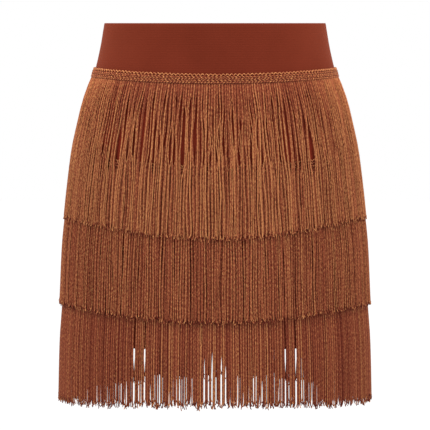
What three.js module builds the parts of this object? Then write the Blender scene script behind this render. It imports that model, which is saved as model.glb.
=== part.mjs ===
// A fringed dance skirt, worn shape, hollow, millimetres, +Z up, its front towards -Y.
// The origin is at the middle of the waistband's height, on the axis of the waist.
// A wide elastic waistband carries two stretch panels, front and back, sewn at the sides.
// Three rows of fringe lie on them: each is a narrow header tape, all the way round,
// with its strands hanging from it as flat locks over the row below.
import * as THREE from "three";

// Waistband: plain elastic, one ring.
const BAND_HEIGHT = 60;
const BAND_WALL = 2;
const BAND_TOP = BAND_HEIGHT / 2; // z of its top edge, with the origin at half its height
const BAND_COLUMNS = 72;
const BAND_ROWS = 3;

// Panels: stretch jersey, from the waistband's lower edge to a level hem.
const PANEL_WALL = 1.2;
const PANEL_HEM_DROP = 358.5;
const PANEL_COLUMNS = 28;
const PANEL_ROWS = 8;
const SEAM_GAP = 0.3; // between two pieces where they are sewn together
const LYING_GAP = 0.4; // between a header and the cloth that it lies on

// The worn form: the inside of the cloth at each drop below the waistband's top edge.
// half is half the width, front and back are the depths from the axis.
const FORM = [
  { drop: 0, half: 123.0, front: 86.0, back: 84.0 },
  { drop: 30, half: 128.2, front: 89.5, back: 86.5 },
  { drop: 60, half: 135.6, front: 94.0, back: 91.0 },
  { drop: 87, half: 144.6, front: 98.0, back: 97.0 },
  { drop: 114, half: 150.8, front: 101.0, back: 103.5 },
  { drop: 141, half: 156.2, front: 103.5, back: 109.5 },
  { drop: 178, half: 160.8, front: 106.0, back: 115.5 },
  { drop: 214, half: 164.4, front: 107.5, back: 118.5 },
  { drop: 250, half: 167.2, front: 108.5, back: 119.5 },
  { drop: 314, half: 168.6, front: 109.5, back: 119.5 },
  { drop: 359, half: 170.6, front: 110.5, back: 119.0 },
  { drop: 430, half: 170.6, front: 110.5, back: 118.5 },
];

// Fringe rows. The header's top edge and the strands' ends are given as drops at the sides,
// the middle of the front and the middle of the back. under is the wall that the header lies on.
const HEADER_HEIGHT = 11.4;
const LOCK_THICK_ROOT = 2.2;
const LOCK_THICK_TIP = 1.9;
const TIERS = [
  {
    name: "fringe_tier_1", locks: 80, steps: 6, under: BAND_WALL,
    head: { side: 49.4, front: 54.9, back: 52.0 },
    ends: { side: 220, front: 236, back: 231 },
  },
  {
    name: "fringe_tier_2", locks: 84, steps: 4, under: PANEL_WALL,
    head: { side: 143.7, front: 154.7, back: 150.0 },
    ends: { side: 317, front: 328, back: 324 },
  },
  {
    name: "fringe_tier_3", locks: 86, steps: 4, under: PANEL_WALL,
    head: { side: 246.0, front: 244.0, back: 246.0 },
    ends: { side: 422, front: 414, back: 418 },
  },
];

// Strands leave the cloth slowly, so that they pass over the next header and its strands.
const OVER_HEADER = { run: 78, offset: 4.4 }; // a lock's inner face, this far below its root
const DRIFT = 0.028; // further out for each millimetre below that

// How a lock varies: the share of its stretch that it fills at the root and the tip,
// a flat wave to the sides, uneven ends and a slanted cut.
const ROOT_FILL = 0.8;
const TIP_FILL = 0.56;
const SWAY = 0.8;
const END_SPREAD = 4;
const END_SLANT = 1.6;

const COLOURS = { band: 0x7c3122, jersey: 0x5e2117, fringe: 0x9a5a38 };

// A smooth curve through the form's rows, for one column of the table.
function formValue(drop, column) {
  const last = FORM.length - 1;
  let i = 0;
  while (i < last - 1 && drop > FORM[i + 1].drop) i += 1;
  const slope = (k) => {
    const low = Math.max(k - 1, 0);
    const high = Math.min(k + 1, last);
    return (FORM[high][column] - FORM[low][column]) / (FORM[high].drop - FORM[low].drop);
  };
  const span = FORM[i + 1].drop - FORM[i].drop;
  const s = (drop - FORM[i].drop) / span;
  const rise = FORM[i + 1][column] - FORM[i][column];
  const bendStart = slope(i) * span - rise;
  const bendEnd = rise - slope(i + 1) * span;
  return FORM[i][column] + s * rise + s * (1 - s) * ((1 - s) * bendStart + s * bendEnd);
}

// A value that is given at the sides, the front and the back, at an angle round the waist.
function around(given, angle) {
  const share = Math.sin(angle) ** 2;
  const middle = Math.sin(angle) < 0 ? given.front : given.back;
  return given.side + (middle - given.side) * share;
}

// The place and outward direction on the form. Angle 0 is +X, and the front is at -90 degrees.
function onForm(angle, drop, offset) {
  const half = formValue(drop, "half");
  const depth = formValue(drop, Math.sin(angle) < 0 ? "front" : "back");
  const out = new THREE.Vector3(Math.cos(angle) / half, Math.sin(angle) / depth, 0).normalize();
  const place = new THREE.Vector3(half * Math.cos(angle), depth * Math.sin(angle), BAND_TOP - drop);
  return { place: place.addScaledVector(out, offset), out };
}

// Angles that stand evenly along the form's edge at a drop.
function evenAngles(count, drop) {
  const fine = 1440;
  const lengths = [0];
  let before = onForm(0, drop, 0).place;
  for (let k = 1; k <= fine; k += 1) {
    const here = onForm((k / fine) * 2 * Math.PI, drop, 0).place;
    lengths.push(lengths[k - 1] + here.distanceTo(before));
    before = here;
  }
  const angles = [];
  let k = 0;
  for (let i = 0; i < count; i += 1) {
    const target = (lengths[fine] * (i + 0.5)) / count;
    while (lengths[k + 1] < target) k += 1;
    const part = (target - lengths[k]) / (lengths[k + 1] - lengths[k]);
    angles.push(((k + part) / fine) * 2 * Math.PI);
  }
  return angles;
}

// The smaller turn from one angle to its neighbours.
function nearestTurn(angles, i) {
  const full = 2 * Math.PI;
  const next = angles[(i + 1) % angles.length] - angles[i];
  const before = angles[i] - angles[(i + angles.length - 1) % angles.length];
  return Math.min((next + full) % full, (before + full) % full);
}

// How much of the form's edge a turn takes up, at an angle and a drop.
function stretchAt(angle, turn, drop) {
  const start = onForm(angle - turn / 2, drop, 0).place;
  return start.distanceTo(onForm(angle + turn / 2, drop, 0).place);
}

// A repeatable value from -1 to 1 for each lock.
function uneven(index, salt) {
  const wave = Math.sin(index * 12.9898 + salt * 78.233) * 43758.5453;
  return 2 * (wave - Math.floor(wave)) - 1;
}

class Solid {
  constructor() {
    this.positions = [];
    this.triangles = [];
  }

  point(p) {
    this.positions.push(p.x, p.y, p.z);
    return this.positions.length / 3 - 1;
  }

  // Four corners, counter-clockwise as seen from outside.
  quad(a, b, c, d) {
    this.triangles.push(a, b, c, a, c, d);
  }

  mesh(name, colour, roughness) {
    const geometry = new THREE.BufferGeometry();
    geometry.setAttribute("position", new THREE.Float32BufferAttribute(this.positions, 3));
    geometry.setIndex(this.triangles);
    geometry.computeVertexNormals();
    const material = new THREE.MeshStandardMaterial({ color: colour, roughness, metalness: 0 });
    const mesh = new THREE.Mesh(geometry, material);
    mesh.name = name;
    return mesh;
  }
}

// A cloth wall over a grid of angles and drops. A closed one goes all the way round.
function clothWall(angles, drops, wall, closed) {
  const solid = new Solid();
  const columns = angles.map((angle) => drops.map((drop) => ({
    outer: solid.point(onForm(angle, drop, wall).place),
    inner: solid.point(onForm(angle, drop, 0).place),
  })));
  const last = drops.length - 1;
  const spans = closed ? columns.length : columns.length - 1;
  for (let c = 0; c < spans; c += 1) {
    const here = columns[c];
    const next = columns[(c + 1) % columns.length];
    for (let r = 0; r < last; r += 1) {
      solid.quad(here[r + 1].outer, next[r + 1].outer, next[r].outer, here[r].outer);
      solid.quad(next[r + 1].inner, here[r + 1].inner, here[r].inner, next[r].inner);
    }
    solid.quad(here[0].inner, here[0].outer, next[0].outer, next[0].inner);
    solid.quad(here[last].outer, here[last].inner, next[last].inner, next[last].outer);
  }
  if (!closed) {
    const start = columns[0];
    const end = columns[columns.length - 1];
    for (let r = 0; r < last; r += 1) {
      solid.quad(start[r + 1].inner, start[r + 1].outer, start[r].outer, start[r].inner);
      solid.quad(end[r + 1].outer, end[r + 1].inner, end[r].inner, end[r].outer);
    }
  }
  return solid;
}

function evenSteps(from, to, spans) {
  return Array.from({ length: spans + 1 }, (_, i) => from + ((to - from) * i) / spans);
}

// The elastic ring round the waist, plain and closed.
function waistband() {
  const angles = evenAngles(BAND_COLUMNS, BAND_HEIGHT / 2);
  const drops = evenSteps(0, BAND_HEIGHT, BAND_ROWS);
  return clothWall(angles, drops, BAND_WALL, true).mesh("waistband", COLOURS.band, 0.7);
}

// One jersey panel, half of the skirt, from side seam to side seam.
function panel(name, from, to) {
  const seam = SEAM_GAP / 2 / FORM[0].back; // half the gap, as an angle where the form is least deep
  const angles = evenSteps(from + seam, to - seam, PANEL_COLUMNS);
  const drops = evenSteps(BAND_HEIGHT + SEAM_GAP, PANEL_HEM_DROP, PANEL_ROWS);
  return clothWall(angles, drops, PANEL_WALL, false).mesh(name, COLOURS.jersey, 0.9);
}

// How far a lock's inner face stands off the form, a given run below its root.
function lockOffset(rootOffset, run) {
  if (run < OVER_HEADER.run) {
    return rootOffset + ((OVER_HEADER.offset - rootOffset) * run) / OVER_HEADER.run;
  }
  return OVER_HEADER.offset + DRIFT * (run - OVER_HEADER.run);
}

// One row of fringe: a header tape with a lock under each of its stretches.
function fringe(tier, tierIndex) {
  const solid = new Solid();
  const rootOffset = tier.under + LYING_GAP;
  const angles = evenAngles(tier.locks, tier.head.side);

  // The four corners of a lock's section, or of the header above it, at a drop.
  const section = (angle, drop, width, offset, thick, sideways, slant) => {
    const { place, out } = onForm(angle, drop, offset);
    const along = new THREE.Vector3(-out.y, out.x, 0);
    const corner = (side, depth) => solid.point(place.clone()
      .addScaledVector(along, sideways + (side * width) / 2)
      .addScaledVector(out, depth)
      .add(new THREE.Vector3(0, 0, side * slant)));
    return [corner(-1, thick), corner(1, thick), corner(1, 0), corner(-1, 0)];
  };

  const roots = angles.map((angle, i) => {
    const turn = nearestTurn(angles, i);
    const top = around(tier.head, angle);
    const bottom = top + HEADER_HEIGHT;
    const end = around(tier.ends, angle) + END_SPREAD * uneven(i, tierIndex);
    const rootWidth = ROOT_FILL * stretchAt(angle, turn, bottom);
    const sections = [
      section(angle, top, rootWidth, rootOffset, LOCK_THICK_ROOT, 0, 0),
      section(angle, bottom, rootWidth, rootOffset, LOCK_THICK_ROOT, 0, 0),
    ];
    for (let k = 1; k <= tier.steps; k += 1) {
      const share = k / tier.steps;
      const drop = bottom + (end - bottom) * share;
      const fill = ROOT_FILL + (TIP_FILL - ROOT_FILL) * share ** 2;
      const width = fill * stretchAt(angle, turn, drop);
      const thick = LOCK_THICK_ROOT + (LOCK_THICK_TIP - LOCK_THICK_ROOT) * share;
      const sideways = SWAY * share * Math.sin(3 * share + 3 * uneven(i, tierIndex + 10));
      const slant = k === tier.steps ? END_SLANT * uneven(i, tierIndex + 20) : 0;
      sections.push(
        section(angle, drop, width, lockOffset(rootOffset, drop - bottom), thick, sideways, slant),
      );
    }
    return sections;
  });

  roots.forEach((sections, i) => {
    const [top, bottom] = sections;
    const [nextTop, nextBottom] = roots[(i + 1) % roots.length];
    const [leftOut, rightOut, rightIn, leftIn] = top;
    const [leftOutLow, rightOutLow, rightInLow, leftInLow] = bottom;
    // The header over this lock, and on to the next one.
    solid.quad(leftOutLow, rightOutLow, rightOut, leftOut);
    solid.quad(rightInLow, leftInLow, leftIn, rightIn);
    solid.quad(leftIn, leftOut, rightOut, rightIn);
    solid.quad(rightOutLow, nextBottom[0], nextTop[0], rightOut);
    solid.quad(nextBottom[3], rightInLow, rightIn, nextTop[3]);
    solid.quad(rightIn, rightOut, nextTop[0], nextTop[3]);
    solid.quad(rightOutLow, rightInLow, nextBottom[3], nextBottom[0]);
    // The lock itself, four-sided, with a cut end.
    for (let k = 1; k < sections.length - 1; k += 1) {
      const upper = sections[k];
      const lower = sections[k + 1];
      for (let c = 0; c < 4; c += 1) {
        const d = (c + 1) % 4;
        solid.quad(lower[c], lower[d], upper[d], upper[c]);
      }
    }
    const tip = sections[sections.length - 1];
    solid.quad(tip[1], tip[0], tip[3], tip[2]);
  });
  return solid.mesh(tier.name, COLOURS.fringe, 0.55);
}

const skirt = new THREE.Group();
skirt.add(waistband());
skirt.add(panel("skirt_front", -Math.PI, 0));
skirt.add(panel("skirt_back", 0, Math.PI));
TIERS.forEach((tier, index) => skirt.add(fringe(tier, index)));

export default skirt;
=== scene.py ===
# A fringed dance skirt in its worn, hollow shape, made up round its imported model.
# Metres, +Z up, the front towards -Y. Named sizes are in millimetres unless they say otherwise.
import math

import bpy
import numpy as np
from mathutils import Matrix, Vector


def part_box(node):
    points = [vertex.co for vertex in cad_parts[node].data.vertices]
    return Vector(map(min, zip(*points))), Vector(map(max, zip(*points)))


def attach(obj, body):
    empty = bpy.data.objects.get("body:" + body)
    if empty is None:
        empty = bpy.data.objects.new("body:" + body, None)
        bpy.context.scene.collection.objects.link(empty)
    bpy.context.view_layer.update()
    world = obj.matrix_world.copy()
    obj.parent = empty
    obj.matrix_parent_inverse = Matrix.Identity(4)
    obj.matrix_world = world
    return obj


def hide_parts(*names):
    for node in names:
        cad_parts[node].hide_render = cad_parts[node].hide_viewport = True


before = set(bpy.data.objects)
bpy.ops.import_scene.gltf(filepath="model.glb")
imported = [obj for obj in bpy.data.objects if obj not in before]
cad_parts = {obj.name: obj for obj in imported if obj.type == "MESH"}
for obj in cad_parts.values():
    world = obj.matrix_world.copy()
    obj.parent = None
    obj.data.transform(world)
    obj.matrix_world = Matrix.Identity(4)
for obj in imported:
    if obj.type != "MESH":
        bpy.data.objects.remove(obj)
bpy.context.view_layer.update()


# Waistband: one ring of 60 mm knitted elastic, joined end to end at the middle of the back.
# Its face is smooth and close, with fine ribs along its length, and its edges are rounded.
# It is stretched round the waist, and everything else hangs from it.
MM = 0.001
BAND = {"height": 60.0, "wall": 2.0, "edge": 0.8, "rib": 2.6, "columns": 216, "rows": 14}
top_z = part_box("waistband")[1].z

# The worn form: the inside of the cloth at each drop below the waistband's top edge.
FORM = {
    "drop": [0, 30, 60, 87, 114, 141, 178, 214, 250, 314, 359, 430],
    "half": [123.0, 128.2, 135.6, 144.6, 150.8, 156.2, 160.8, 164.4, 167.2, 168.6, 170.6, 170.6],
    "front": [86.0, 89.5, 94.0, 98.0, 101.0, 103.5, 106.0, 107.5, 108.5, 109.5, 110.5, 110.5],
    "back": [84.0, 86.5, 91.0, 97.0, 103.5, 109.5, 115.5, 118.5, 119.5, 119.5, 119.0, 118.5],
}


def form_value(drop, column):
    """A smooth curve through the form's rows, for one column of the table."""
    x = np.array(FORM["drop"], float)
    y = np.array(FORM[column], float)
    i = np.clip(np.searchsorted(x, drop, side="right") - 1, 0, len(x) - 2)
    rows = np.arange(len(x))
    low = np.maximum(rows - 1, 0)
    high = np.minimum(rows + 1, len(x) - 1)
    slope = (y[high] - y[low]) / (x[high] - x[low])
    span = x[i + 1] - x[i]
    s = (drop - x[i]) / span
    rise = y[i + 1] - y[i]
    bend = (1 - s) * (slope[i] * span - rise) + s * (rise - slope[i + 1] * span)
    return y[i] + s * rise + s * (1 - s) * bend


def on_form(angle, drop, offset):
    """Places on the form in metres, and the directions out of it. The front is at -90 degrees."""
    angle, drop, offset = np.broadcast_arrays(angle, drop, offset)
    half = form_value(drop, "half")
    depth = np.where(np.sin(angle) < 0, form_value(drop, "front"), form_value(drop, "back"))
    out = np.stack([np.cos(angle) / half, np.sin(angle) / depth, 0 * half], -1)
    out /= np.linalg.norm(out, axis=-1, keepdims=True)
    place = np.stack([half * np.cos(angle), depth * np.sin(angle), -drop], -1)
    place = (place + offset[..., None] * out) * MM
    place[..., 2] += top_z
    return place, out


def mesh_object(name, points, faces, uv=None):
    """An object at the origin with its place in its mesh. uv gives each point's place on the cloth."""
    mesh = bpy.data.meshes.new(name)
    mesh.from_pydata(np.asarray(points, float).reshape(-1, 3).tolist(), [], faces)
    if uv is not None:
        corners = np.empty(len(mesh.loops), np.int32)
        mesh.loops.foreach_get("vertex_index", corners)
        layer = mesh.uv_layers.new(name="cloth")
        layer.data.foreach_set("uv", np.asarray(uv, np.float32).reshape(-1, 2)[corners].ravel())
    mesh.polygons.foreach_set("use_smooth", [True] * len(mesh.polygons))
    mesh.validate()
    made = bpy.data.objects.new(name, mesh)
    bpy.context.scene.collection.objects.link(made)
    return made


def wall_faces(spans, columns, rows):
    """The faces between each column and the next, where a column is a closed ring of points."""
    faces = []
    for c in range(spans):
        here, there = c * rows, (c + 1) % columns * rows
        for r in range(rows):
            s = (r + 1) % rows
            faces.append((here + s, there + s, there + r, here + r))
    return faces


def shell(name, angles, outer, inner, closed):
    """A thin cloth wall. outer and inner are its two faces as (drop, offset) rows, top to bottom."""
    section = np.array(list(outer) + list(inner)[::-1], float)
    count, rows = len(angles), len(section)
    points, _ = on_form(np.array(angles)[:, None], section[None, :, 0], section[None, :, 1])
    faces = wall_faces(count if closed else count - 1, count, rows)
    if not closed:
        last = (count - 1) * rows
        for r in range(rows // 2 - 1):
            faces.append((r, rows - 1 - r, rows - 2 - r, r + 1))
            faces.append((last + r + 1, last + rows - 2 - r, last + rows - 1 - r, last + r))
    steps = np.linalg.norm(np.diff(points[:, 0, :2], axis=0), axis=1)
    along = np.concatenate([[0], np.cumsum(steps)])
    uv = np.stack(np.broadcast_arrays(along[:, None], -section[None, :, 0] * MM), -1)
    return mesh_object(name, points, faces, uv)


def add_node(tree, kind, links=None, **settings):
    """Adds a node. links gives an input a value, another node's socket, or a node's first output."""
    node = tree.nodes.new(kind)
    for setting, value in settings.items():
        setattr(node, setting, value)
    for key, value in (links or {}).items():
        if isinstance(value, bpy.types.Node):
            value = value.outputs[0]
        if isinstance(value, bpy.types.NodeSocket):
            tree.links.new(value, node.inputs[key])
        else:
            node.inputs[key].default_value = value
    return node


def srgb(code):
    """The linear colour of an sRGB hex value."""
    channels = [int(code[i : i + 2], 16) / 255 for i in (1, 3, 5)]
    linear = [c / 12.92 if c <= 0.04045 else ((c + 0.055) / 1.055) ** 2.4 for c in channels]
    return (*linear, 1.0)


def new_material(name, values):
    """A material with these values on its shader's own inputs, and the shader to link more to."""
    material = bpy.data.materials.new(name)
    material.use_nodes = True
    tree = material.node_tree
    tree.nodes.clear()
    shader = add_node(tree, "ShaderNodeBsdfPrincipled", values)
    add_node(tree, "ShaderNodeOutputMaterial", {"Surface": shader})
    return material, tree, shader


def knit_ribs(tree, place, axis, pitch):
    """Waves from -1 to 1 over a cloth's ribs, which lie a pitch apart along an axis of its map."""
    axes = add_node(tree, "ShaderNodeSeparateXYZ", {0: place})
    turns = add_node(tree, "ShaderNodeMath", {0: axes.outputs[axis], 1: 2 * math.pi / (pitch * MM)},
                     operation="MULTIPLY")
    return add_node(tree, "ShaderNodeMath", {0: turns}, operation="SINE")


def knitted_elastic():
    """Polyester covered elastic, warp knitted: matt, even, with faint ribs along its length.

    The real ribs are 0.9 mm apart. They are drawn 2.6 mm apart, so that they show.
    """
    material, tree, shader = new_material("knitted_elastic", {
        "Roughness": 0.7, "Specular IOR Level": 0.06, "Sheen Weight": 0.2, "Sheen Roughness": 0.45,
        "Sheen Tint": srgb("#c86a34"),
    })
    place = add_node(tree, "ShaderNodeUVMap", uv_map="cloth")
    ribs = knit_ribs(tree, place, "Y", BAND["rib"])
    grain_place = add_node(tree, "ShaderNodeMapping", {0: place, "Scale": (1400, 500, 1)})
    grain = add_node(tree, "ShaderNodeTexNoise", {"Vector": grain_place, "Scale": 1.0, "Detail": 2.0})
    height = add_node(tree, "ShaderNodeMath", {0: ribs, 1: 0.25, 2: grain}, operation="MULTIPLY_ADD")
    bump = add_node(tree, "ShaderNodeBump", {"Strength": 0.35, "Distance": 0.0003, "Height": height})
    object_place = add_node(tree, "ShaderNodeTexCoord").outputs["Object"]
    cloud = add_node(tree, "ShaderNodeTexNoise", {"Vector": object_place, "Scale": 26.0, "Detail": 3.0})
    mottle = add_node(tree, "ShaderNodeMapRange",
                      {"Value": cloud, "From Min": 0.3, "From Max": 0.7, "To Min": 0.0, "To Max": 1.0})
    colour = add_node(tree, "ShaderNodeMix", {"Factor": mottle, 6: srgb("#561d0f"), 7: srgb("#5b2012")},
                      data_type="RGBA")
    tree.links.new(colour.outputs[2], shader.inputs["Base Color"])
    tree.links.new(bump.outputs[0], shader.inputs["Normal"])
    return material


def even_drops(top, bottom, rows):
    return [top + (bottom - top) * k / rows for k in range(rows + 1)]


# Each (drop, offset) of its outer face: the edges are rounded in, and the face between is even.
edge = BAND["edge"]
band_face = even_drops(edge, BAND["height"] - edge, BAND["rows"])
band_outer = [(0.0, BAND["wall"] / 2 + 0.35), (0.25 * edge, BAND["wall"] - 0.25)]
band_outer += [(drop, BAND["wall"]) for drop in band_face]
band_outer += [(BAND["height"] - 0.25 * edge, BAND["wall"] - 0.25)]
band_inner = [(drop, BAND["wall"] - offset) for drop, offset in band_outer]
band_angles = [2 * math.pi * k / BAND["columns"] for k in range(BAND["columns"])]
waistband = shell("waistband_elastic", band_angles, band_outer, band_inner, closed=True)
waistband.data.materials.append(knitted_elastic())
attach(waistband, "root")
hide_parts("waistband")


# Skirt panels: front and back of stretch jersey, sewn at the sides and under the waistband.
# They follow the hips to a level hem, turned up once inside. The fringe is sewn on them and
# covers them, so that they show only in its partings, from below and inside.
PANEL = {
    "top": 60.3, "hem": 358.5, "wall": 1.2, "rib": 1.2, "columns": 84, "rows": 44,
    "inside": 0.3, "turn_up": 20.0, "turned_inside": -0.4,
}
SIDE_SEAM = 0.0018  # half the gap between the two panels, as an angle


def stretch_jersey():
    """Viscose and elastane single jersey, dyed dark rust: matt, with fine knit ribs downwards."""
    values = {"Roughness": 0.85, "Specular IOR Level": 0.06}
    material, tree, shader = new_material("stretch_jersey", values)
    place = add_node(tree, "ShaderNodeUVMap", uv_map="cloth")
    ribs = knit_ribs(tree, place, "X", PANEL["rib"])
    bump = add_node(tree, "ShaderNodeBump", {"Strength": 0.3, "Distance": 0.0002, "Height": ribs})
    object_place = add_node(tree, "ShaderNodeTexCoord").outputs["Object"]
    cloud = add_node(tree, "ShaderNodeTexNoise", {"Vector": object_place, "Scale": 60.0, "Detail": 3.0})
    colour = add_node(tree, "ShaderNodeMix", {"Factor": cloud, 6: srgb("#6e2618"), 7: srgb("#7e2c1e")},
                      data_type="RGBA")
    tree.links.new(colour.outputs[2], shader.inputs["Base Color"])
    tree.links.new(bump.outputs[0], shader.inputs["Normal"])
    return material


jersey = stretch_jersey()
panel_drops = even_drops(PANEL["top"], PANEL["hem"], PANEL["rows"])
panel_outer = [(drop, PANEL["wall"]) for drop in panel_drops]
turn_up_from = PANEL["hem"] - PANEL["turn_up"]
panel_inner = [(drop, PANEL["inside" if drop < turn_up_from else "turned_inside"])
               for drop in panel_drops]
for side, start in (("front", -math.pi), ("back", 0.0)):
    first, last = start + SIDE_SEAM, start + math.pi - SIDE_SEAM
    angles = [first + (last - first) * k / PANEL["columns"] for k in range(PANEL["columns"] + 1)]
    panel = shell(f"skirt_{side}_jersey", angles, panel_outer, panel_inner, closed=False)
    panel.data.materials.append(jersey)
    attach(panel, "root")
    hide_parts(f"skirt_{side}")


# Fringe rows: three lengths of the same trim, each sewn on all the way round, its ends meeting
# at the wearer's right side seam. A trim is a woven header tape with loops along its top edge
# and twisted cords worked on it, and 165 mm yarns that hang from it in front of the next row.
#
# For each row: head and ends are the drops of the header's top edge and of the yarns' ends, rest
# and tape_rest how far the roots and the tape stand off the form, drift how much further out the
# yarns go with each millimetre down, and cords how far down the tape each cord lies. bunch,
# wander and ragged say how much the yarns draw together, wave and end unevenly, and layers how
# far they lie on one another. A slit's top, foot and push lie between two values, and side is
# its strength at the side seams. tone is the darkest and lightest yarn, root_dark the painted
# shade below the header, and side_light and side_contrast the yarns' tone and its contrast at
# the sides, painted light and shade there. A parting has a place from the middle of its half,
# the drops of its top and foot, and a push.
ROWS = [
    {
        "name": "fringe_1", "node": "fringe_tier_1", "seed": 3, "yarns": 720,
        "rest": 2.4, "tape_rest": 3.1, "drift": 0.012, "cords": [4.4, 6.3, 8.2, 10.1],
        "head": {"side": 49.4, "front": 54.9, "back": 52.0},
        "ends": {"side": 220.0, "front": 236.5, "back": 231.0},
        "bunch": 0.3, "wander": 0.8, "ragged": 4.4, "layers": 1.6,
        "slits": {"top": (10, 48), "foot": (56, 97), "push": (1.8, 2.8), "side": 0.3},
        "tone": (0.06, 1.05), "root_dark": 0.24, "side_light": 0.6, "side_contrast": 0.5,
        "partings": {"front": [(-93.1, 124, 157, 2.5), (93.1, 124, 157, 2.5), (-69.5, 92, 150, 1.4),
                               (69.5, 92, 150, 1.4)], "back": []},
    },
    {
        "name": "fringe_2", "node": "fringe_tier_2", "seed": 11, "yarns": 780,
        "rest": 1.6, "tape_rest": 2.0, "drift": 0.028, "cords": [4.6, 7.4],
        "head": {"side": 143.7, "front": 154.7, "back": 150.0},
        "ends": {"side": 317.0, "front": 328.5, "back": 324.0},
        "bunch": 0.2, "wander": 0.5, "ragged": 3.8, "layers": 1.6,
        "slits": {"top": (10, 110), "foot": (60, 170), "push": (0.0, 0.8), "side": 0.6},
        "tone": (0.08, 0.8), "root_dark": 0.0, "side_light": 0.57, "side_contrast": 0.8,
        "partings": {"front": [], "back": []},
    },
    {
        "name": "fringe_3", "node": "fringe_tier_3", "seed": 23, "yarns": 940,
        "rest": 1.6, "tape_rest": 2.0, "drift": 0.028, "cords": [4.6],
        "head": {"side": 246.0, "front": 244.0, "back": 246.0},
        "ends": {"side": 425.0, "front": 419.0, "back": 419.0},
        "bunch": 0.06, "wander": 0.14, "ragged": 7.0, "layers": 1.0,
        "slits": {"top": (85, 172), "foot": (300, 300), "push": (0.3, 0.8), "side": 0.0},
        "tone": (-0.43, 0.97), "root_dark": 0.0, "side_light": 0.42, "side_contrast": 0.8,
        "partings": {"front": [(-86.9, 325, 460, 1.0), (-75.2, 325, 460, 0.95), (-14.8, 340, 350, 0.9),
                               (-10.6, 384, 460, 1.0), (-6.3, 380, 460, 1.0), (-2.6, 376, 460, 0.9),
                               (1.4, 388, 460, 0.8), (6.6, 378, 460, 1.1), (10.9, 388, 460, 0.9),
                               (75.2, 325, 460, 0.95), (86.9, 325, 460, 1.0)],
                     "back": [(-93.4, 325, 397, 1.7), (-81.0, 325, 397, 1.6), (-11.8, 368, 460, 1.0),
                              (-7.1, 360, 460, 1.2), (-1.8, 372, 460, 0.9), (3.4, 355, 460, 1.2),
                              (11.5, 366, 460, 1.0), (81.0, 325, 397, 1.6), (93.4, 325, 397, 1.7)]},
    },
]
OVERLAP = 0.04  # how far a trim's surface goes on past its two ends, as a share of it


def around(given, angle, power=2):
    """A value that is given at the sides, the front and the back, at angles round the waist."""
    middle = np.where(np.sin(angle) < 0, given["front"], given["back"])
    return given["side"] + (middle - given["side"]) * np.abs(np.sin(angle)) ** power


def trim_angles(count, drop, start=-OVERLAP, stop=1 + OVERLAP):
    """Angles evenly spaced along the form at a drop, and the trim's whole length in metres."""
    fine = np.linspace(-math.pi, math.pi, 8 * 360 + 1)
    points, _ = on_form(fine, drop, 0.0)
    along = np.concatenate([[0], np.cumsum(np.linalg.norm(np.diff(points, axis=0), axis=1))])
    share = along / along[-1]
    wrapped_share = np.concatenate([share[:-1] - 1, share[:-1], share + 1])
    wrapped_angle = np.concatenate([fine[:-1] - 2 * math.pi, fine[:-1], fine + 2 * math.pi])
    return np.interp(np.linspace(start, stop, count), wrapped_share, wrapped_angle), along[-1]


def guide(name, angles, drops, offsets):
    """A surface that yarns are laid along. Its map goes round the trim and down it, from 0 to 1."""
    points, out = on_form(angles[:, None], drops, offsets)
    count, rows = drops.shape
    faces = []
    for c in range(count - 1):
        for r in range(rows - 1):
            here, there = c * rows + r, (c + 1) * rows + r
            faces.append((here + 1, there + 1, there, here))
    u, v = np.meshgrid(np.linspace(0, 1, count), np.linspace(0, 1, rows), indexing="ij")
    made = mesh_object(name, points, faces, np.stack([u, v], -1))
    directions = made.data.attributes.new("out", "FLOAT_VECTOR", "POINT")
    directions.data.foreach_set("vector", out.reshape(-1).astype(np.float32))
    return made


def new_tree(name, kinds, numbers):
    """A Geometry Nodes tree and its named inputs: those of the given kinds, and plain numbers."""
    tree = bpy.data.node_groups.new(name, "GeometryNodeTree")
    for label, kind in {**kinds, **dict.fromkeys(numbers, "Float")}.items():
        tree.interface.new_socket(name=label, in_out="INPUT", socket_type="NodeSocket" + kind)
    tree.interface.new_socket(name="Geometry", in_out="OUTPUT", socket_type="NodeSocketGeometry")
    return tree, tree.nodes.new("NodeGroupInput").outputs


def grown(name, tree, values):
    """The plain mesh that a tree gives for these inputs."""
    start = mesh_object(name + "_start", [(0, 0, 0)], [])
    modifier = start.modifiers.new(name, "NODES")
    modifier.node_group = tree
    for item in tree.interface.items_tree:
        if item.in_out == "INPUT":
            modifier[item.identifier] = values[item.name]
    graph = bpy.context.evaluated_depsgraph_get()
    mesh = bpy.data.meshes.new_from_object(start.evaluated_get(graph))
    mesh.name = name
    bpy.data.objects.remove(start)
    made = bpy.data.objects.new(name, mesh)
    bpy.context.scene.collection.objects.link(made)
    return made


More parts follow.
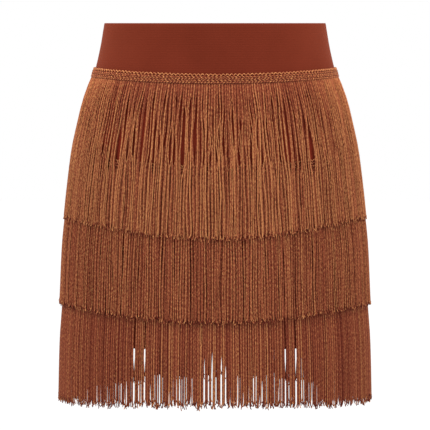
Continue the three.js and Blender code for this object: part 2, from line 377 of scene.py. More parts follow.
def laid_on_guide(tree, given, share, down):
    """Nodes that read a guide at a share of the trim's length and a share of its depth."""
    share = add_node(tree, "ShaderNodeMath", {0: share, 1: OVERLAP}, operation="ADD")
    share = add_node(tree, "ShaderNodeMath", {0: share, 1: 1 + 2 * OVERLAP}, operation="DIVIDE")
    where = add_node(tree, "ShaderNodeCombineXYZ", {0: share, 1: down})
    surface = add_node(tree, "GeometryNodeObjectInfo", {"Object": given["Guide"]}).outputs["Geometry"]
    map_uv = add_node(tree, "GeometryNodeInputNamedAttribute", {"Name": "cloth"},
                      data_type="FLOAT_VECTOR")
    out = add_node(tree, "GeometryNodeInputNamedAttribute", {"Name": "out"}, data_type="FLOAT_VECTOR")
    position = add_node(tree, "GeometryNodeInputPosition")
    found = []
    for value in (position, out):
        sample = add_node(tree, "GeometryNodeSampleUVSurface", {"Mesh": surface},
                          data_type="FLOAT_VECTOR")
        tree.links.new(value.outputs[0], sample.inputs["Value"])
        tree.links.new(map_uv.outputs[0], sample.inputs["Source UV Map"])
        tree.links.new(where.outputs[0], sample.inputs["Sample UV"])
        found.append(sample.outputs["Value"])
    along = add_node(tree, "ShaderNodeVectorMath", {0: (0, 0, 1), 1: found[1]},
                     operation="CROSS_PRODUCT")
    return found[0], found[1], along.outputs[0]


# A yarn's knitted loops: one step of the mark that counts them, the dashes to a step, and how far
# apart the marks of two yarns may start.
STITCHES = {"step": 5.0, "dashes": 1.7, "spread": 900.0}


def marked(tree, curves, marks):
    """Nodes that store marks on a yarn's points for the material to read."""
    for label, value in marks.items():
        curves = add_node(tree, "GeometryNodeStoreNamedAttribute",
                          {"Geometry": curves, "Name": label, "Value": value},
                          data_type="FLOAT", domain="POINT")
    return curves


def round_yarn(tree, given, curves, sides):
    """Nodes that give curves a yarn's round section and its material."""
    section = add_node(tree, "GeometryNodeCurvePrimitiveCircle",
                       {"Resolution": sides, "Radius": given["Radius"]})
    mesh = add_node(tree, "GeometryNodeCurveToMesh",
                    {"Curve": curves, "Profile Curve": section.outputs["Curve"], "Fill Caps": True})
    smooth = add_node(tree, "GeometryNodeSetShadeSmooth", {"Geometry": mesh, "Shade Smooth": True})
    real = add_node(tree, "GeometryNodeRealizeInstances", {"Geometry": smooth})
    dyed = add_node(tree, "GeometryNodeSetMaterial", {"Geometry": real, "Material": given["Yarn"]})
    add_node(tree, "NodeGroupOutput", {"Geometry": dyed})


# The header: its height with the loops, where its tape begins, how thick the tape is and how
# long its faces are, and how far the yarns' roots are tucked up behind it.
HEADER = {"height": 11.4, "tape_from": 3.2, "thick": 0.9, "face": 3.2, "tuck": 5.0}
# The tape's section, as shares of its height and of its thickness.
TAPE_SECTION = np.array([(0.0, 0.15), (0.0, 0.85), (0.04, 1.0), (0.96, 1.0),
                         (1.0, 0.85), (1.0, 0.15), (0.96, 0.0), (0.04, 0.0)])
# The yarns worked on the tape: the points on a turn, how far it rises up the tape, how deep it
# turns and how far off the tape, and whether it goes up in loops, 1, or round, 0. margin is how
# far their guide goes past the header, as a share of its height.
WORKED = {"radius": 0.6, "sides": 5, "margin": 0.1, "guide_rows": 8}
LOOPS = {"pitch": 4.4, "points": 12, "looped": 1.0, "down": 3.0, "rise": 2.2, "depth": 0.0, "lift": 0.9,
         "tone": 0.75}
# The two yarns of a cord have a light and a dark tone: painted light and painted shade that show its
# twist.
CORDS = {"pitches": [4.1, 3.5, 4.5, 3.3], "points": 6, "looped": 0.0, "rise": 0.55, "depth": 0.45,
         "lift": 0.95, "tones": (0.7, 0.1)}


def worked_yarn():
    """The tree that works one yarn along a header tape, in loops, or turning round a cord's middle."""
    tree, given = new_tree(
        "worked_yarn", {"Guide": "Object", "Points": "Int", "Yarn": "Material"},
        ["Turns", "Phase", "Down", "Rise", "Looped", "Lift", "Depth", "Radius", "Tone", "Stitches"])
    line = add_node(tree, "GeometryNodeCurvePrimitiveLine", {"End": (1, 0, 0)})
    points = add_node(tree, "GeometryNodeResampleCurve", {"Curve": line, "Count": given["Points"]},
                      mode="COUNT")
    factor = add_node(tree, "GeometryNodeSplineParameter").outputs["Factor"]
    turns = add_node(tree, "ShaderNodeMath", {0: factor, 1: given["Turns"], 2: given["Phase"]},
                     operation="MULTIPLY_ADD")
    angle = add_node(tree, "ShaderNodeMath", {0: turns, 1: 2 * math.pi}, operation="MULTIPLY")
    sine = add_node(tree, "ShaderNodeMath", {0: angle}, operation="SINE")
    cosine = add_node(tree, "ShaderNodeMath", {0: angle}, operation="COSINE")
    half_angle = add_node(tree, "ShaderNodeMath", {0: angle, 1: 0.5}, operation="MULTIPLY")
    loop = add_node(tree, "ShaderNodeMath", {0: half_angle}, operation="SINE")
    loop = add_node(tree, "ShaderNodeMath", {0: loop}, operation="ABSOLUTE")
    wave = add_node(tree, "ShaderNodeMix", {0: given["Looped"], 2: sine, 3: loop})
    up = add_node(tree, "ShaderNodeMath", {0: wave, 1: given["Rise"]}, operation="MULTIPLY")
    down = add_node(tree, "ShaderNodeMath", {0: given["Down"], 1: up}, operation="SUBTRACT")
    down = add_node(tree, "ShaderNodeMath", {0: down, 1: HEADER["height"]}, operation="DIVIDE")
    position, out, _ = laid_on_guide(tree, given, factor, down)
    lift = add_node(tree, "ShaderNodeMath", {0: cosine, 1: given["Depth"], 2: given["Lift"]},
                    operation="MULTIPLY_ADD")
    outward = add_node(tree, "ShaderNodeVectorMath", {0: out, "Scale": lift}, operation="SCALE")
    moved = add_node(tree, "ShaderNodeVectorMath", {0: position, 1: outward}, operation="ADD")
    start = add_node(tree, "ShaderNodeMath", {0: given["Down"], 1: STITCHES["spread"]},
                     operation="MULTIPLY")
    stitch = add_node(tree, "ShaderNodeMath", {0: factor, 1: given["Stitches"], 2: start},
                      operation="MULTIPLY_ADD")
    curves = marked(tree, points, {"tone": given["Tone"], "end": 0.0, "stitch": stitch})
    curves = add_node(tree, "GeometryNodeSetCurveRadius", {"Curve": curves, "Radius": 1.0})
    placed = add_node(tree, "GeometryNodeSetPosition", {"Geometry": curves, "Position": moved})
    round_yarn(tree, given, placed, WORKED["sides"])
    return tree


# A hanging yarn: how thick it is, and its tip as a share of that. body is the share of its length
# that the first body_points of its points cover. Its end curls aside, and in or out by a share of
# that. jitter moves it from its even place. It hangs free, and lies on others, after these runs.
YARN = {
    "thick": 1.0, "tip": 0.9, "sides": 4, "points": 17, "body": 0.965, "body_points": 0.75,
    "curl": 4.6, "curl_out": (-0.35, 0.25), "jitter": 0.6, "free": (5.0, 40.0), "layered": (4.0, 14.0),
}
GUIDE = {"columns": 260, "rows": 40, "reach": 1.06}  # reach is how far it goes past the yarns' ends


def uneven_values(tree, given, index):
    """Six uneven values from 0 to 1 for each yarn."""
    values = []
    for k in (1, 2):
        seed = add_node(tree, "ShaderNodeCombineXYZ", {0: index, 1: given["Seed"], 2: k})
        noise = add_node(tree, "ShaderNodeTexWhiteNoise", {"Vector": seed}, noise_dimensions="3D")
        values += list(add_node(tree, "ShaderNodeSeparateXYZ", {0: noise.outputs["Color"]}).outputs)
    return values


# Bunches of yarns: how far apart they are and over what length that changes, how far a yarn is
# drawn, how much bunches mix, and how much of a yarn's lightness comes from its place in one:
# painted light on a bunch's crest, and painted shade in the hollows between bunches.
BUNCH = {"pitch": 2.62, "uneven_over": 6.0, "width": 2.8, "mixed": 0.25, "light": 0.6, "seed_step": 7.0}


def bunched(tree, given, place, uneven):
    """How far its bunch draws a yarn to its middle, and how high the yarn lies in it, from 0 to 1."""
    loose = add_node(tree, "ShaderNodeMath", {0: place, 1: BUNCH["uneven_over"] * MM},
                     operation="DIVIDE")
    loose = add_node(tree, "ShaderNodeMath", {0: given["Seed"], 1: BUNCH["seed_step"], 2: loose},
                     operation="MULTIPLY_ADD")
    loose = add_node(tree, "ShaderNodeTexNoise", {"W": loose, "Scale": 1.0, "Detail": 1.0},
                     noise_dimensions="1D")
    bunch = add_node(tree, "ShaderNodeMath", {0: place, 1: 1 / (BUNCH["pitch"] * MM), 2: loose},
                     operation="MULTIPLY_ADD")
    bunch = add_node(tree, "ShaderNodeMath", {0: uneven[2], 1: BUNCH["mixed"], 2: bunch},
                     operation="MULTIPLY_ADD")
    crest = add_node(tree, "ShaderNodeMath", {0: bunch, 1: 0.5}, operation="PINGPONG")
    crest = add_node(tree, "ShaderNodeMath", {0: crest, 1: 2.0}, operation="MULTIPLY")
    across = add_node(tree, "ShaderNodeMath", {0: bunch}, operation="FRACT")
    width = BUNCH["width"] * MM
    pull = add_node(tree, "ShaderNodeMath", {0: across, 1: -width, 2: width / 2},
                    operation="MULTIPLY_ADD")
    pull = add_node(tree, "ShaderNodeMath", {0: pull, 1: given["Bunch"]}, operation="MULTIPLY")
    return pull, crest


def pushed_aside(tree, aside, reach):
    """How far a yarn is from a gap, and how strongly the gap pushes it to its own side."""
    side = add_node(tree, "ShaderNodeMath", {0: aside}, operation="SIGN")
    near = add_node(tree, "ShaderNodeMath", {0: aside}, operation="ABSOLUTE")
    fade = add_node(tree, "ShaderNodeMath", {0: near, 1: -1 / reach}, operation="MULTIPLY")
    fade = add_node(tree, "ShaderNodeMath", {0: fade}, operation="EXPONENT")
    return near, add_node(tree, "ShaderNodeMath", {0: fade, 1: side}, operation="MULTIPLY")


def open_between(tree, run, top, foot, kind):
    """How far a gap is open at a run, from 0 to 1: it opens round its top, and closes round its foot."""
    opened = 1.0
    for end, spans, before in ((top, kind["opening"], 0.0), (foot, kind["closing"], 1.0)):
        past = add_node(tree, "ShaderNodeMath", {0: run, 1: end}, operation="SUBTRACT")
        part = add_node(tree, "ShaderNodeMapRange", {
            "Value": past, 1: spans[0] * MM, 2: spans[1] * MM, 3: before, 4: 1.0 - before,
        }, interpolation_type="SMOOTHSTEP")
        opened = add_node(tree, "ShaderNodeMath", {0: opened, 1: part}, operation="MULTIPLY")
    return opened


# Slits: how far apart they are, how far beside one yarns move, and where it opens below its top
# and closes below its foot. They are clear up to the first distance from the middle of the front
# or back, and weak after the second.
SLITS = {"pitch": 2.9, "reach": 1.2, "opening": (0.0, 22.0), "closing": (0.0, 10.0),
         "middle": (95.0, 135.0), "seed_step": 5.3}


def slit_push(tree, given, place, run, central):
    """How far a yarn stands aside from the nearest slit. Each has its own top, foot and push."""
    across = add_node(tree, "ShaderNodeMath", {0: place, 1: SLITS["pitch"] * MM}, operation="DIVIDE")
    across = add_node(tree, "ShaderNodeMath", {0: given["Seed"], 1: SLITS["seed_step"], 2: across},
                      operation="MULTIPLY_ADD")
    cell = add_node(tree, "ShaderNodeTexVoronoi", {"W": across, "Scale": 1.0}, voronoi_dimensions="1D")
    own = add_node(tree, "ShaderNodeSeparateXYZ", {0: cell.outputs["Color"]}).outputs
    aside = add_node(tree, "ShaderNodeMath", {0: across, 1: cell.outputs["W"]}, operation="SUBTRACT")
    _, slit = pushed_aside(tree, aside, SLITS["reach"] / SLITS["pitch"])
    bounds = (("First Top", "Last Top"), ("First Foot", "Last Foot"), ("Least Push", "Most Push"))
    top, foot, push = [add_node(tree, "ShaderNodeMix", {0: share, 2: given[low], 3: given[high]})
                       for share, (low, high) in zip(own, bounds)]
    opened = open_between(tree, run, top, foot, SLITS)
    strength = add_node(tree, "ShaderNodeMix", {0: central, 2: given["Slit Side"], 3: 1.0})
    for part in (opened, push, strength):
        slit = add_node(tree, "ShaderNodeMath", {0: slit, 1: part}, operation="MULTIPLY")
    return slit


# Sways along the trim: the distances across and down over which one changes, and its strength.
# In the first, neighbours sway together a little. In the second, each yarn waves by itself.
SWAYS = ((9.0, 90.0, 1.6), (0.05, 30.0, 0.7))


def swayed(tree, given, place, run, free, shift):
    """A yarn's shift along the trim, with its neighbours' sway and its own waves added to it."""
    for width, height, reach in SWAYS:
        across = add_node(tree, "ShaderNodeMath", {0: place, 1: width * MM}, operation="DIVIDE")
        downwards = add_node(tree, "ShaderNodeMath", {0: run, 1: height * MM}, operation="DIVIDE")
        at = add_node(tree, "ShaderNodeCombineXYZ", {0: across, 1: downwards, 2: given["Seed"]})
        wave = add_node(tree, "ShaderNodeTexNoise", {"Vector": at, "Scale": 1.0, "Detail": 0.0})
        # This noise lies between about 0.25 and 0.75.
        centred = add_node(tree, "ShaderNodeMapRange", {
            "Value": wave.outputs[0], 1: 0.25, 2: 0.75, 3: -reach, 4: reach,
        }, clamp=False)
        sway = add_node(tree, "ShaderNodeMath", {0: centred, 1: given["Wander"]}, operation="MULTIPLY")
        shift = add_node(tree, "ShaderNodeMath", {0: sway, 1: free, 2: shift}, operation="MULTIPLY_ADD")
    return shift


# Partings: how far beside one yarns move, how much they still bunch at it, and where it opens
# round its top and closes round its foot.
PARTING = {"reach": 4.5, "calm": 0.1, "opening": (-22.0, 8.0), "closing": (-6.0, 14.0)}


def parted(tree, place, run, shift, parting):
    """A yarn's shift along the trim, with the push of one parting added to it.

    A parting has its place along the trim from the wearer's right side seam, the runs where it
    starts and stops, and how far it pushes the yarns beside it away.
    """
    middle, top, bottom, push = parting
    aside = add_node(tree, "ShaderNodeMath", {0: place, 1: middle}, operation="SUBTRACT")
    near, gap = pushed_aside(tree, aside, PARTING["reach"] * MM)
    # Bunching fades beside a parting, so that no yarn is carried back into it.
    calm = add_node(tree, "ShaderNodeMapRange",
                    {"Value": near, 2: PARTING["reach"] * MM, 3: PARTING["calm"]})
    shift = add_node(tree, "ShaderNodeMath", {0: shift, 1: calm}, operation="MULTIPLY")
    opened = open_between(tree, run, top, bottom, PARTING)
    gap = add_node(tree, "ShaderNodeMath", {0: gap, 1: opened}, operation="MULTIPLY")
    return add_node(tree, "ShaderNodeMath", {0: gap, 1: push * MM, 2: shift}, operation="MULTIPLY_ADD")


# Groups of yarns that end together: their width, how much more uneven their ends are than single
# yarns', and where their noise is read.
GROUPS = {"width": 9.0, "weight": 2.2, "noise_place": 41.0}


def ragged(tree, given, place, uneven, tip_down):
    """How far down the guide a point is. Groups of yarns end together, and each a little apart."""
    group_at = add_node(tree, "ShaderNodeMath", {0: place, 1: GROUPS["width"] * MM}, operation="DIVIDE")
    group = add_node(tree, "ShaderNodeCombineXYZ",
                     {0: group_at, 1: GROUPS["noise_place"], 2: given["Seed"]})
    group = add_node(tree, "ShaderNodeTexNoise", {"Vector": group, "Scale": 1.0, "Detail": 2.0})
    group = add_node(tree, "ShaderNodeMath", {0: group.outputs[0], 1: GROUPS["weight"], 2: uneven[1]},
                     operation="MULTIPLY_ADD")
    middle = 0.5 + 0.5 * GROUPS["weight"]
    group = add_node(tree, "ShaderNodeMath", {0: group, 1: -middle}, operation="ADD")
    down = group
    for operation, value in (("MULTIPLY", given["Ragged"]), ("DIVIDE", given["Yarn Length"]),
                             ("ADD", 1.0), ("MULTIPLY", tip_down), ("DIVIDE", GUIDE["reach"])):
        down = add_node(tree, "ShaderNodeMath", {0: down, 1: value}, operation=operation)
    return down


def layered_and_curled(tree, given, laid, run, crest, curl, uneven):
    """A point's own place: it lies on the cloth or on its neighbours, and the end curls away."""
    position, out, along = laid
    layer = add_node(tree, "ShaderNodeMath", {0: crest, 1: given["Layers"]}, operation="MULTIPLY")
    raised = add_node(tree, "ShaderNodeMapRange",
                      {"Value": run, 1: YARN["layered"][0] * MM, 2: YARN["layered"][1] * MM},
                      interpolation_type="SMOOTHSTEP")
    lift = add_node(tree, "ShaderNodeMath", {0: layer, 1: raised, 2: given["Radius"]},
                    operation="MULTIPLY_ADD")
    curl_in, curl_out = YARN["curl_out"]
    outwards = add_node(tree, "ShaderNodeMath", {0: uneven[3], 1: curl_out - curl_in, 2: curl_in},
                        operation="MULTIPLY_ADD")
    outwards = add_node(tree, "ShaderNodeMath", {0: outwards, 1: curl}, operation="MULTIPLY")
    lift = add_node(tree, "ShaderNodeMath", {0: outwards, 1: given["Curl"], 2: lift},
                    operation="MULTIPLY_ADD")
    aside = add_node(tree, "ShaderNodeMath", {0: uneven[4], 1: -0.5}, operation="ADD")
    for part in (curl, given["Curl"]):
        aside = add_node(tree, "ShaderNodeMath", {0: aside, 1: part}, operation="MULTIPLY")
    moved = position
    for direction, reach in ((out, lift), (along, aside)):
        step = add_node(tree, "ShaderNodeVectorMath", {0: direction, "Scale": reach}, operation="SCALE")
        moved = add_node(tree, "ShaderNodeVectorMath", {0: moved, 1: step}, operation="ADD")
    return moved


# The painted shade below the header: the runs over which it fades, and its share at the sides. And
# how much lighter a yarn's cut end is painted on its bunch's crest, and how much darker beside it:
# painted light on the curls and painted shade between them.
ROOT_SHADE = {"fades": (6.0, 75.0), "side": 0.1}
END_TONE = {"crest": 0.3, "beside": -1.6}


def yarn_tone(tree, given, run, central, crest, curl, uneven):
    """How light a yarn is: uneven, with painted light on its bunch's crest and painted shade below the
    header.
    """
    # Painted light on the crest of a bunch, and painted shade in the hollows between bunches.
    light = add_node(tree, "ShaderNodeMix", {0: BUNCH["light"], 2: uneven[5], 3: crest})
    # At the sides the tone is drawn to the row's side value, with less contrast: painted light and shade
    # there.
    clear = add_node(tree, "ShaderNodeMapRange", {"Value": central, 3: given["Side Contrast"], 4: 1.0})
    light = add_node(tree, "ShaderNodeMix", {0: clear, 2: given["Side Light"], 3: light})
    tone = add_node(tree, "ShaderNodeMix", {0: light, 2: given["Dark"], 3: given["Light"]})
    # Painted shade below the header, strongest in the middle of the front and back.
    shade_from, shade_to = (drop * MM for drop in ROOT_SHADE["fades"])
    shaded = add_node(tree, "ShaderNodeMapRange", {
        "Value": run, 1: shade_from, 2: shade_to, 3: given["Root Dark"], 4: 0.0,
    }, interpolation_type="SMOOTHSTEP")
    covered = add_node(tree, "ShaderNodeMapRange", {"Value": central, 3: ROOT_SHADE["side"], 4: 1.0})
    shaded = add_node(tree, "ShaderNodeMath", {0: shaded, 1: covered}, operation="MULTIPLY")
    tone = add_node(tree, "ShaderNodeMath", {0: tone, 1: shaded}, operation="SUBTRACT")
    # Painted light on the cut ends on a crest, and painted shade between the curls.
    painted_end_shade = add_node(tree, "ShaderNodeMath", {
        0: crest, 1: END_TONE["crest"] - END_TONE["beside"], 2: END_TONE["beside"],
    }, operation="MULTIPLY_ADD")
    return add_node(tree, "ShaderNodeMath", {0: painted_end_shade, 1: curl, 2: tone}, operation="MULTIPLY_ADD")


def hanging_yarns(partings):
    """The tree that hangs the yarns of half a row: bunched, waved, parted, with uneven, curled ends."""
    tree, given = new_tree(
        "hanging_yarns", {"Guide": "Object", "Yarns": "Int", "Yarn": "Material"},
        ["Seed", "From", "To", "Middle", "Trim Length", "Yarn Length", "Radius", "Layers", "Bunch",
         "First Top", "Last Top", "First Foot", "Last Foot", "Least Push", "Most Push", "Slit Side",
         "Wander", "Ragged", "Curl", "Dark", "Light", "Root Dark", "Side Light", "Side Contrast"])
    line = add_node(tree, "GeometryNodeCurvePrimitiveLine", {"End": (0, 0, -1)})
    points = add_node(tree, "GeometryNodeResampleCurve", {"Curve": line, "Count": YARN["points"]},
                      mode="COUNT")
    copies = add_node(tree, "GeometryNodeDuplicateElements",
                      {"Geometry": points, "Amount": given["Yarns"]}, domain="SPLINE")
    index = copies.outputs["Duplicate Index"]
    uneven = uneven_values(tree, given, index)

    # How far down its yarn a point is, as a share and as a run in metres. Its tip has more points.
    factor = add_node(tree, "GeometryNodeSplineParameter").outputs["Factor"]
    body = add_node(tree, "ShaderNodeMapRange",
                    {"Value": factor, 2: YARN["body_points"], 4: YARN["body"]})
    tip = add_node(tree, "ShaderNodeMapRange", {"Value": factor, 1: YARN["body_points"], 2: 1.0})
    tip_down = add_node(tree, "ShaderNodeMath", {0: tip, 1: 1 - YARN["body"], 2: body},
                        operation="MULTIPLY_ADD")
    curl = add_node(tree, "ShaderNodeMath", {0: tip, 1: 2.0}, operation="POWER")
    run = add_node(tree, "ShaderNodeMath", {0: tip_down, 1: given["Yarn Length"]}, operation="MULTIPLY")
    free = add_node(tree, "ShaderNodeMapRange",
                    {"Value": run, 1: YARN["free"][0] * MM, 2: YARN["free"][1] * MM},
                    interpolation_type="SMOOTHSTEP")

    # Its place along the trim, and how far it is drawn and pushed from it.
    jitter = add_node(tree, "ShaderNodeMath", {0: uneven[0], 1: YARN["jitter"], 2: index},
                      operation="MULTIPLY_ADD")
    step = add_node(tree, "ShaderNodeMath", {0: jitter, 1: given["Yarns"]}, operation="DIVIDE")
    share = add_node(tree, "ShaderNodeMix", {0: step, 2: given["From"], 3: given["To"]})
    place = add_node(tree, "ShaderNodeMath", {0: share, 1: given["Trim Length"]}, operation="MULTIPLY")
    aside = add_node(tree, "ShaderNodeMath", {0: place, 1: given["Middle"]}, operation="SUBTRACT")
    aside = add_node(tree, "ShaderNodeMath", {0: aside}, operation="ABSOLUTE")
    near, far = (distance * MM for distance in SLITS["middle"])
    central = add_node(tree, "ShaderNodeMapRange", {"Value": aside, 1: near, 2: far, 3: 1.0, 4: 0.0},
                       interpolation_type="SMOOTHSTEP")
    pull, crest = bunched(tree, given, place, uneven)
    slit = slit_push(tree, given, place, run, central)
    shift = add_node(tree, "ShaderNodeMath", {0: pull, 1: free, 2: slit}, operation="MULTIPLY_ADD")
    shift = swayed(tree, given, place, run, free, shift)
    for parting in partings:
        shift = parted(tree, place, run, shift, parting)
    shift = add_node(tree, "ShaderNodeMath", {0: shift, 1: given["Trim Length"]}, operation="DIVIDE")
    moved_share = add_node(tree, "ShaderNodeMath", {0: share, 1: shift}, operation="ADD")

    down = ragged(tree, given, place, uneven, tip_down)
    laid = laid_on_guide(tree, given, moved_share, down)
    moved = layered_and_curled(tree, given, laid, run, crest, curl, uneven)

    # The marks come before the move, because a share of a curve's length changes with its shape.
    tone = yarn_tone(tree, given, run, central, crest, curl, uneven)
    start = add_node(tree, "ShaderNodeMath", {0: uneven[0], 1: STITCHES["spread"]}, operation="MULTIPLY")
    stitch = add_node(tree, "ShaderNodeMath", {0: run, 1: 1 / (STITCHES["step"] * MM), 2: start},
                      operation="MULTIPLY_ADD")
    thinned = add_node(tree, "ShaderNodeMapRange", {"Value": curl, 3: 1.0, 4: YARN["tip"]})
    curves = marked(tree, copies, {"tone": tone, "end": curl, "stitch": stitch})
    curves = add_node(tree, "GeometryNodeSetCurveRadius", {"Curve": curves, "Radius": thinned})
    curves = add_node(tree, "GeometryNodeSetCurveNormal", {"Curve": curves, "Normal": laid[1]},
                      mode="FREE")
    placed = add_node(tree, "GeometryNodeSetPosition", {"Geometry": curves, "Position": moved})
    round_yarn(tree, given, placed, YARN["sides"])
    return tree


def fringe_yarn():
    """Rayon chainette yarn, knitted in loops and dyed copper brown: silky, with the loops' light and
    shade painted on it in dashes.

    The real loops are 1.2 mm long. They are drawn as dashes about 3 mm long, so that they show.
    """
    material, tree, shader = new_material("rayon_chainette_yarn", {
        "Roughness": 0.45, "Specular IOR Level": 0.08, "Specular Tint": srgb("#ffc090"),
        "Sheen Weight": 0.03, "Sheen Roughness": 0.35, "Sheen Tint": srgb("#e0a070"),
    })
    tone = add_node(tree, "ShaderNodeAttribute", attribute_name="tone").outputs["Fac"]
    stitch = add_node(tree, "ShaderNodeAttribute", attribute_name="stitch").outputs["Fac"]
    end = add_node(tree, "ShaderNodeAttribute", attribute_name="end").outputs["Fac"]
    loop = add_node(tree, "ShaderNodeTexNoise",
                    {"W": stitch, "Scale": STITCHES["dashes"], "Detail": 1.5}, noise_dimensions="1D")
    # The dashes are stronger at the cut ends, where the loops open, with painted light and shade of the
    # curls.
    centred = add_node(tree, "ShaderNodeMath", {0: loop, 1: 0.5}, operation="SUBTRACT")
    contrast = add_node(tree, "ShaderNodeMapRange", {"Value": end, 3: 1.3, 4: 3.6})
    dash = add_node(tree, "ShaderNodeMath", {0: centred, 1: contrast, 2: tone}, operation="MULTIPLY_ADD")
    ramp = add_node(tree, "ShaderNodeValToRGB", {0: dash})
    ramp.color_ramp.elements[0].color = srgb("#55211a")
    ramp.color_ramp.elements[1].color = srgb("#b1784e")
    middle = ramp.color_ramp.elements.new(0.5)
    middle.color = srgb("#844631")
    bump = add_node(tree, "ShaderNodeBump", {"Strength": 0.5, "Distance": 0.0004, "Height": loop})
    tree.links.new(ramp.outputs[0], shader.inputs["Base Color"])
    tree.links.new(bump.outputs[0], shader.inputs["Normal"])
    return material


yarn_material = fringe_yarn()
work_tree = worked_yarn()


def header_tape(row, trim_length):
    """The tape: a thin woven ribbon over the roots of the yarns. It has no tone mark, so the yarn
    material paints it dark: painted shade between the cords.
    """
    columns = round(trim_length / (HEADER["face"] * MM))
    ring = trim_angles(columns + 1, row["head"]["side"], 0, 1)[0][:-1]
    height = HEADER["height"] - HEADER["tape_from"]
    drops = around(row["head"], ring)[:, None] + HEADER["tape_from"] + height * TAPE_SECTION[:, 0]
    offsets = row["tape_rest"] + HEADER["thick"] * TAPE_SECTION[:, 1]
    points, _ = on_form(ring[:, None], drops, offsets)
    tape = mesh_object(row["name"] + "_tape", points, wall_faces(columns, columns, len(TAPE_SECTION)))
    tape.data.materials.append(yarn_material)
    return tape


def worked_on_tape(name, tape_guide, trim_length, kind, turns, down, phase, tone):
    """A yarn in loops, or one of the two of a cord, which turns the other way if turns is negative."""
    margin = WORKED["margin"]
    return grown(name, work_tree, {
        "Guide": tape_guide, "Turns": float(turns), "Points": abs(turns) * kind["points"] + 1,
        "Down": (down + margin * HEADER["height"]) / (1 + 2 * margin),
        "Rise": kind["rise"] / (1 + 2 * margin), "Looped": kind["looped"], "Phase": phase,
        "Lift": kind["lift"] * MM, "Depth": kind["depth"] * MM, "Radius": WORKED["radius"] * MM,
        "Tone": tone, "Stitches": trim_length / (STITCHES["step"] * MM), "Yarn": yarn_material,
    })


OVER_HEADER = {"run": 78.0, "offset": 3.8}  # how far down and out the yarns pass the next header


def hanging_guide(row, angles, root, ends):
    """The surface that a row's yarns hang along, out over the next header and then nearly straight."""
    drops = root + (ends - root) * np.linspace(0, GUIDE["reach"], GUIDE["rows"])
    below = np.maximum(drops - root - HEADER["tuck"], 0)
    slow = row["rest"] + (OVER_HEADER["offset"] - row["rest"]) * below / OVER_HEADER["run"]
    fast = OVER_HEADER["offset"] + row["drift"] * (below - OVER_HEADER["run"])
    offsets = np.where(below < OVER_HEADER["run"], slow, fast)
    return guide(row["name"] + "_guide", angles, drops, offsets)


BACK = {"slits": 0.5, "seed_step": 0.5}  # at the back slits are half as strong, in other places
fringe_pieces = {"front": [], "back": [], "round": []}
for row in ROWS:
    angles, trim_length = trim_angles(GUIDE["columns"], row["head"]["side"])
    head = around(row["head"], angles)[:, None]
    ends = around(row["ends"], angles, power=3)[:, None]
    fringe_pieces["round"].append(header_tape(row, trim_length))

    # The yarns worked on the tape: its loops, and the two yarns of each cord.
    tape_share = np.linspace(-WORKED["margin"], 1 + WORKED["margin"], WORKED["guide_rows"])
    tape_guide = guide(row["name"] + "_tape_guide", angles, head + HEADER["height"] * tape_share,
                       row["tape_rest"])
    turns = round(trim_length / (LOOPS["pitch"] * MM))
    works = [("loops", LOOPS, turns, LOOPS["down"], 0.0, LOOPS["tone"])]
    for k, down in enumerate(row["cords"]):
        way = 1 if k % 2 else -1
        turns = way * round(trim_length / (CORDS["pitches"][k] * MM))
        works += [(f"cord_{k + 1}_a", CORDS, turns, down, 0.0, CORDS["tones"][0]),
                  (f"cord_{k + 1}_b", CORDS, turns, down, 0.5, CORDS["tones"][1])]
    for name, *work in works:
        worked = worked_on_tape(f"{row['name']}_{name}", tape_guide, trim_length, *work)
        fringe_pieces["round"].append(worked)

    # The hanging yarns, in a front and a back half. Runs begin at the yarns' roots.
    root = head + HEADER["height"] - HEADER["tuck"]
    yarn_guide = hanging_guide(row, angles, root, ends)
    root_drop = float(root.mean())
    half_way = float(np.interp(0.0, angles, np.linspace(-OVERLAP, 1 + OVERLAP, len(angles))))
    middles = {"front": trim_length * half_way / 2, "back": trim_length * (1 + half_way) / 2}
    partings = [(middles[side] + place * MM, (top - root_drop) * MM, (bottom - root_drop) * MM, push)
                for side, places in row["partings"].items() for place, top, bottom, push in places]
    yarn_tree = hanging_yarns(partings)
    slits = row["slits"]
    for side, start, stop in (("front", 0.0, half_way), ("back", half_way, 1.0)):
        strength = 1.0 if side == "front" else BACK["slits"]
        seed_step = 0.0 if side == "front" else BACK["seed_step"]
        yarns = grown(f"{row['name']}_{side}_yarns", yarn_tree, {
            "Guide": yarn_guide, "Yarns": row["yarns"], "From": start, "To": stop,
            "Middle": middles[side], "Trim Length": trim_length,
            "Yarn Length": float(np.mean(ends - root)) * MM,
            "Radius": YARN["thick"] / 2 * MM, "Layers": row["layers"] * MM,
            "Bunch": row["bunch"], "Slit Side": slits["side"],
            "First Top": slits["top"][0] * MM, "Last Top": slits["top"][1] * MM,
            "First Foot": slits["foot"][0] * MM, "Last Foot": slits["foot"][1] * MM,
            "Least Push": slits["push"][0] * MM * strength,
            "Most Push": slits["push"][1] * MM * strength,
            "Wander": row["wander"] * MM, "Ragged": row["ragged"] * MM, "Curl": YARN["curl"] * MM,
            "Dark": row["tone"][0], "Light": row["tone"][1], "Side Light": row["side_light"],
            "Side Contrast": row["side_contrast"], "Root Dark": row["root_dark"],
            "Seed": float(row["seed"]) + seed_step, "Yarn": yarn_material,
        })
        fringe_pieces[side].append(yarns)
        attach(yarns, "root")
        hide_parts(row["node"])
    bpy.data.objects.remove(tape_guide)
    bpy.data.objects.remove(yarn_guide)

for piece in fringe_pieces["round"]:
    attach(piece, "root")


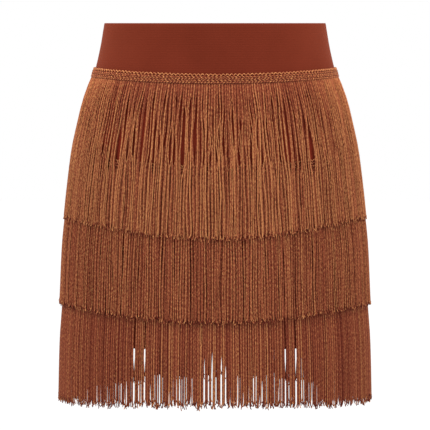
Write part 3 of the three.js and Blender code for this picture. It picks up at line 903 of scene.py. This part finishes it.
# Studio: a wide pale floor far below the skirt, white surroundings, a large warm light high up
# on the left and right in front, and a narrow one that grazes each end of the waistband. The
# camera stands in front, as high as the waistband's top edge. Metres and degrees are used here.
CAMERA = {"away": 3.0, "aim": -0.1875, "view_height": 0.4886, "sensor": 36.0}
FLOOR = {"z": -2.2, "half": 30.0}
SOFTBOXES = {"away": 1.9, "turned": 50.0, "up": 60.0, "aim": -0.18, "size": 0.9, "power": 28.0,
             "colour": (1.0, 0.91, 0.78)}
GRAZING = {"away": 1.5, "forward": 0.1, "z": 0.05, "aim": (0.128, 0.03), "spread": 5.6, "size": 0.1,
           "power": 200.0, "colour": (1.0, 0.85, 0.6)}


def studio_lamp(name, kind, place, aim, given):
    """A lamp of the studio at a place, turned to its aim."""
    light = bpy.data.lights.new(name, kind)
    light.energy = given["power"]
    light.color = given["colour"]
    lamp = bpy.data.objects.new(name, light)
    lamp.location = place
    lamp.rotation_euler = (aim - place).to_track_quat("-Z", "Y").to_euler()
    bpy.context.scene.collection.objects.link(lamp)
    return light


corner = FLOOR["half"]
floor_points = [(x, y, FLOOR["z"]) for x, y in
                ((-corner, -corner), (corner, -corner), (corner, corner), (-corner, corner))]
floor = mesh_object("floor", floor_points, [(0, 1, 2, 3)])
floor.data.materials.append(new_material("pale_floor", {
    "Base Color": srgb("#f7f7f7"), "Roughness": 0.9, "Specular IOR Level": 0.0,
    "Emission Color": (1, 1, 1, 1), "Emission Strength": 0.12,
})[0])

world = bpy.data.worlds.new("studio")
bpy.context.scene.world = world
world.use_nodes = True
world.node_tree.nodes["Background"].inputs["Color"].default_value = (1, 1, 1, 1)
world.node_tree.nodes["Background"].inputs["Strength"].default_value = 1.0

for name, side in (("left_softbox", -1), ("right_softbox", 1)):
    turn, up = math.radians(side * SOFTBOXES["turned"]), math.radians(SOFTBOXES["up"])
    towards = Vector((math.sin(turn) * math.cos(up), -math.cos(turn) * math.cos(up), math.sin(up)))
    aim = Vector((0, 0, SOFTBOXES["aim"]))
    light = studio_lamp(name, "AREA", aim + SOFTBOXES["away"] * towards, aim, SOFTBOXES)
    light.shape = "SQUARE"
    light.size = SOFTBOXES["size"]

for name, side in (("left_spot", -1), ("right_spot", 1)):
    place = Vector((side * GRAZING["away"], -GRAZING["forward"], GRAZING["z"]))
    aim = Vector((side * GRAZING["aim"][0], 0, GRAZING["aim"][1]))
    light = studio_lamp(name, "SPOT", place, aim, GRAZING)
    light.spot_size = math.radians(GRAZING["spread"])
    light.spot_blend = 1.0
    light.shadow_soft_size = GRAZING["size"]

camera_data = bpy.data.cameras.new("camera")
camera_data.sensor_width = CAMERA["sensor"]
aim = Vector((0, 0, CAMERA["aim"]))
stand = Vector((0, -CAMERA["away"], top_z))
camera_data.lens = CAMERA["sensor"] * (aim - stand).length / CAMERA["view_height"]
camera_data.clip_end = 100
camera = bpy.data.objects.new("camera", camera_data)
camera.location = stand
camera.rotation_euler = (aim - stand).to_track_quat("-Z", "Y").to_euler()
bpy.context.scene.collection.objects.link(camera)
bpy.context.scene.camera = camera
bpy.context.scene.view_settings.view_transform = "Standard"

bpy.context.view_layer.update()
